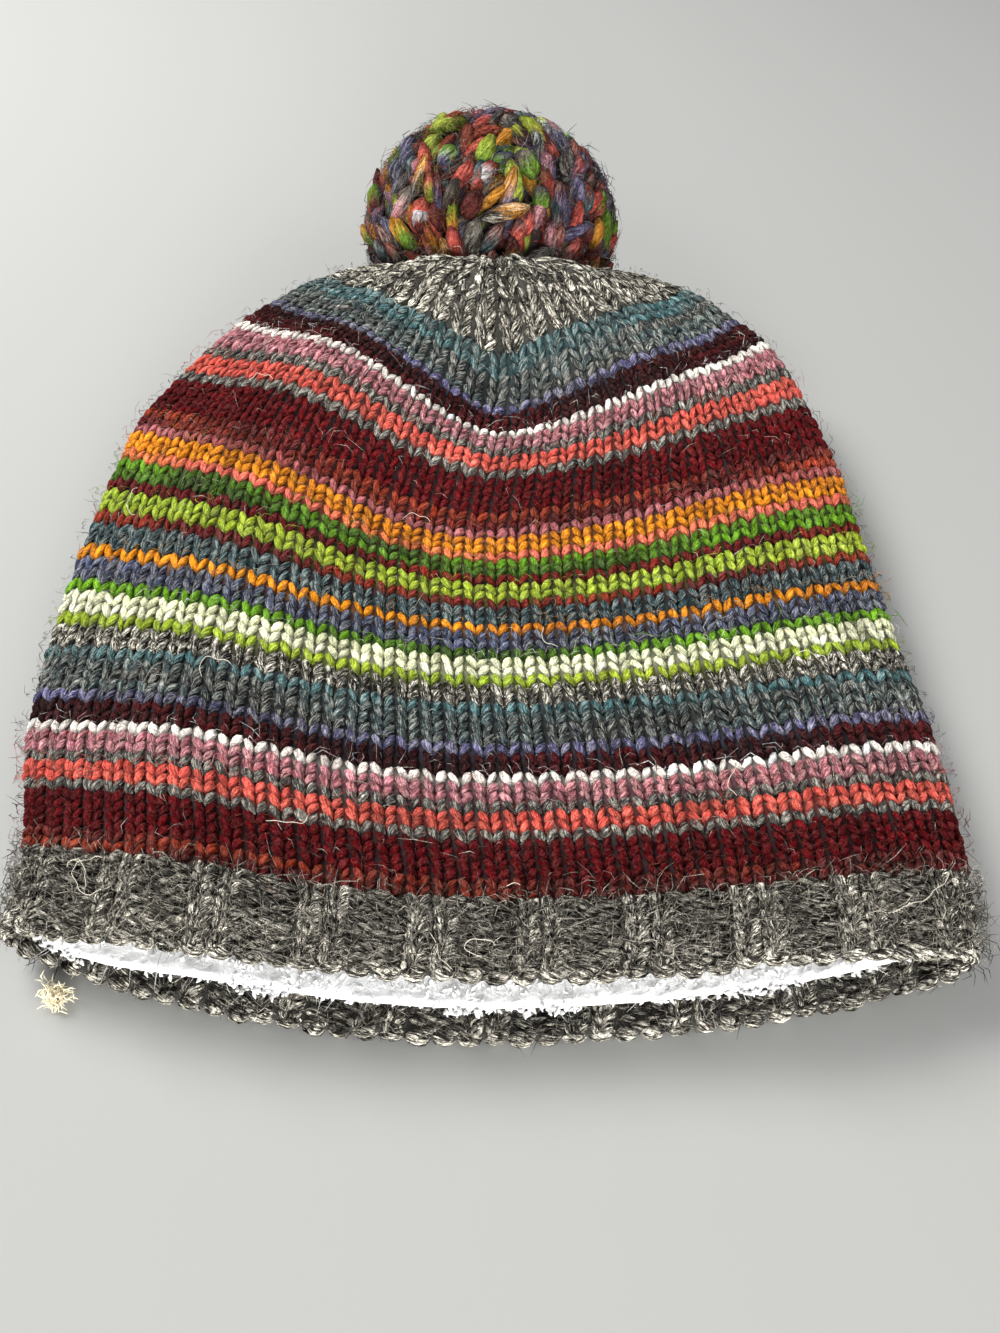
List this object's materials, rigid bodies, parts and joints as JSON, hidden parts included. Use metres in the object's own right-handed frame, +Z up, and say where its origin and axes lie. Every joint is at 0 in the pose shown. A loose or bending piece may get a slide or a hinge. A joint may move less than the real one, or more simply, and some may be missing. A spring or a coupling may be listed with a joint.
{
  "type": "bobble hat",
  "caption": "knitted bobble hat lying on its side, with a striped body, a ribbed band, a fleece-lined opening and a wool pompom at the gather",
  "frame": {"origin": "on the floor under the flat underside, on the hat's long middle line, halfway between the opening and the gather", "axes": "+Z up from the floor, +Y along the hat from the opening to the bobble, +X to the right seen from above with the bobble away"},
  "size_m": [0.244, 0.3285, 0.0831],
  "materials": {
    "striped_wool": "thick stockinette in stripes of many colours, fuzzy",
    "grey_marl_wool": "grey-brown marl wool with cream fibres, ribbed two by two",
    "white_fleece": "white nubbly fleece",
    "mixed_wool": "cut wool yarn in many colours"
  },
  "bodies": {
    "root": {"striped_crown": "striped_wool", "ribbed_band": "grey_marl_wool", "fleece_lining": "white_fleece", "bobble": "mixed_wool"}
  },
  "joints": []
}
